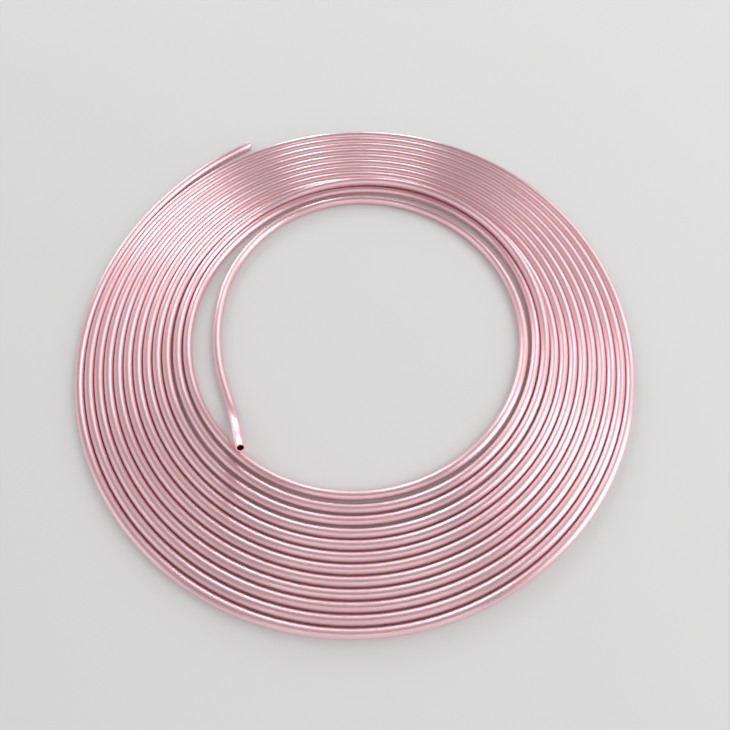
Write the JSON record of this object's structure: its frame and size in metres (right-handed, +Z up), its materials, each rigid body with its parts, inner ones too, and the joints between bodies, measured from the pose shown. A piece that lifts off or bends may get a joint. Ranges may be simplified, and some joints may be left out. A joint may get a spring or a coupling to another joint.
{
  "type": "copper tube coil",
  "caption": "Soft copper tube wound as a flat spiral of one layer with a single crossing, an open centre and square-cut ends that spring free.",
  "frame": {"origin": "middle of the coil's outer box, on the bench under it", "axes": "+Z up, square to the flat of the winding; the outer end points towards +X on the +Y side; the inner end turns up at the -X -Y side of the open centre"},
  "size_m": [0.4016, 0.398, 0.02],
  "materials": {
    "copper": "clean bright-annealed copper, rosy pink, satin with fine lengthwise drawing lines"
  },
  "bodies": {
    "root": {"copper_tube": "copper"}
  },
  "joints": []
}
